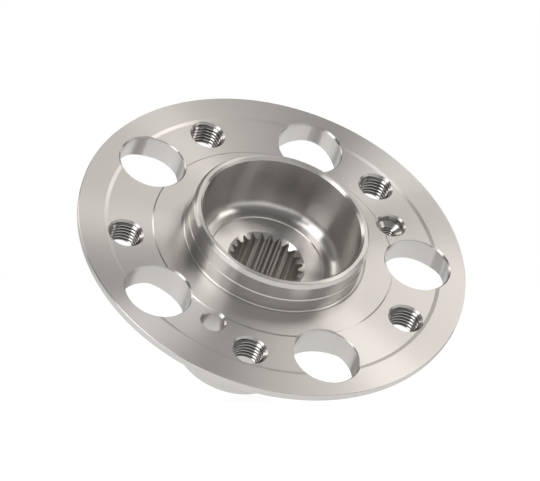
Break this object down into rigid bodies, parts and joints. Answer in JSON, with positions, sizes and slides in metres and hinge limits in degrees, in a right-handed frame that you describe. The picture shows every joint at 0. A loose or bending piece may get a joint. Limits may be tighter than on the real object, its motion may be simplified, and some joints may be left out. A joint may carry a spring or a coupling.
{
  "type": "wheel hub",
  "caption": "Wheel hub turned from one steel forging, with a drilled round flange, a centring spigot with a deep cup, and a barrel with an internal spline.",
  "frame": {"origin": "centre of the wheel-bolt circle on the flange's disc face", "axes": "+Z along the axle, out of the vehicle; one wheel bolt lies on -Y; +X completes the frame"},
  "size_m": [0.147, 0.147, 0.0732],
  "materials": {
    "steel": "satin, turned"
  },
  "bodies": {
    "root": {"hub": "steel"}
  },
  "joints": []
}
